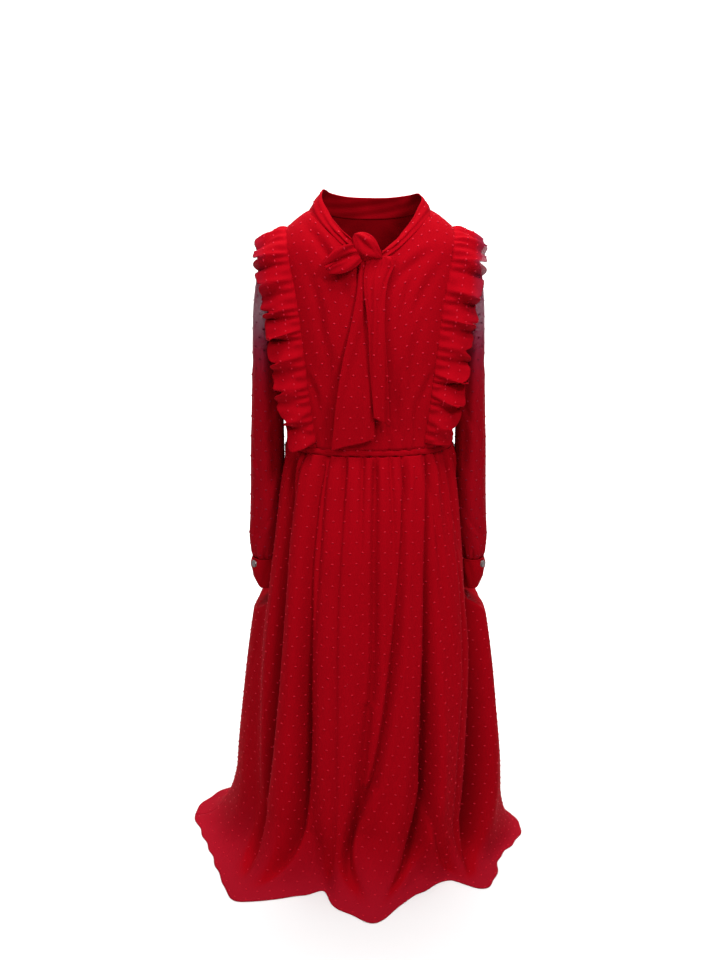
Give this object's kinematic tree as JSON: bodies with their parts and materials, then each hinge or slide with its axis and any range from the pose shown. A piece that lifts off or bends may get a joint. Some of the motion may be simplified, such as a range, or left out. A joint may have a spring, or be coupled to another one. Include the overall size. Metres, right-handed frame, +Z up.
{
  "type": "dress",
  "caption": "Girl's long dress with gathered skirt, long cuffed sleeves, a ruffle over each shoulder, and a stand collar tied in a one-loop bow.",
  "frame": {"origin": "midway between the shoulders, on the line of the shoulder seams, where the wearer carries the dress", "axes": "+Z up, the front faces -Y, +X to the right of someone looking at the front"},
  "size_m": [0.5083, 0.5251, 0.9573],
  "materials": {
    "crepe": "matte crepe chiffon with small raised clipped dots",
    "frill": "single sheer layer of the same dotted chiffon",
    "sleeve": "single sheer layer of the same dotted chiffon",
    "button": "glossy moulded button"
  },
  "bodies": {
    "root": {"bodice_centre_front": "crepe", "bodice_centre_back": "crepe", "bodice_side_front_left": "crepe", "bodice_side_front_right": "crepe", "bodice_side_back_left": "crepe", "bodice_side_back_right": "crepe", "waistband": "crepe", "skirt_front": "crepe", "skirt_back": "crepe", "neck_band": "crepe", "bow_knot": "crepe", "bow_loop": "crepe", "tie_front": "crepe", "tie_back": "crepe", "ruffle_left": "frill", "ruffle_right": "frill", "sleeve_left": "sleeve", "sleeve_right": "sleeve", "cuff_left": "sleeve", "cuff_right": "sleeve", "cuff_button_left": "button", "cuff_button_right": "button"}
  },
  "joints": []
}
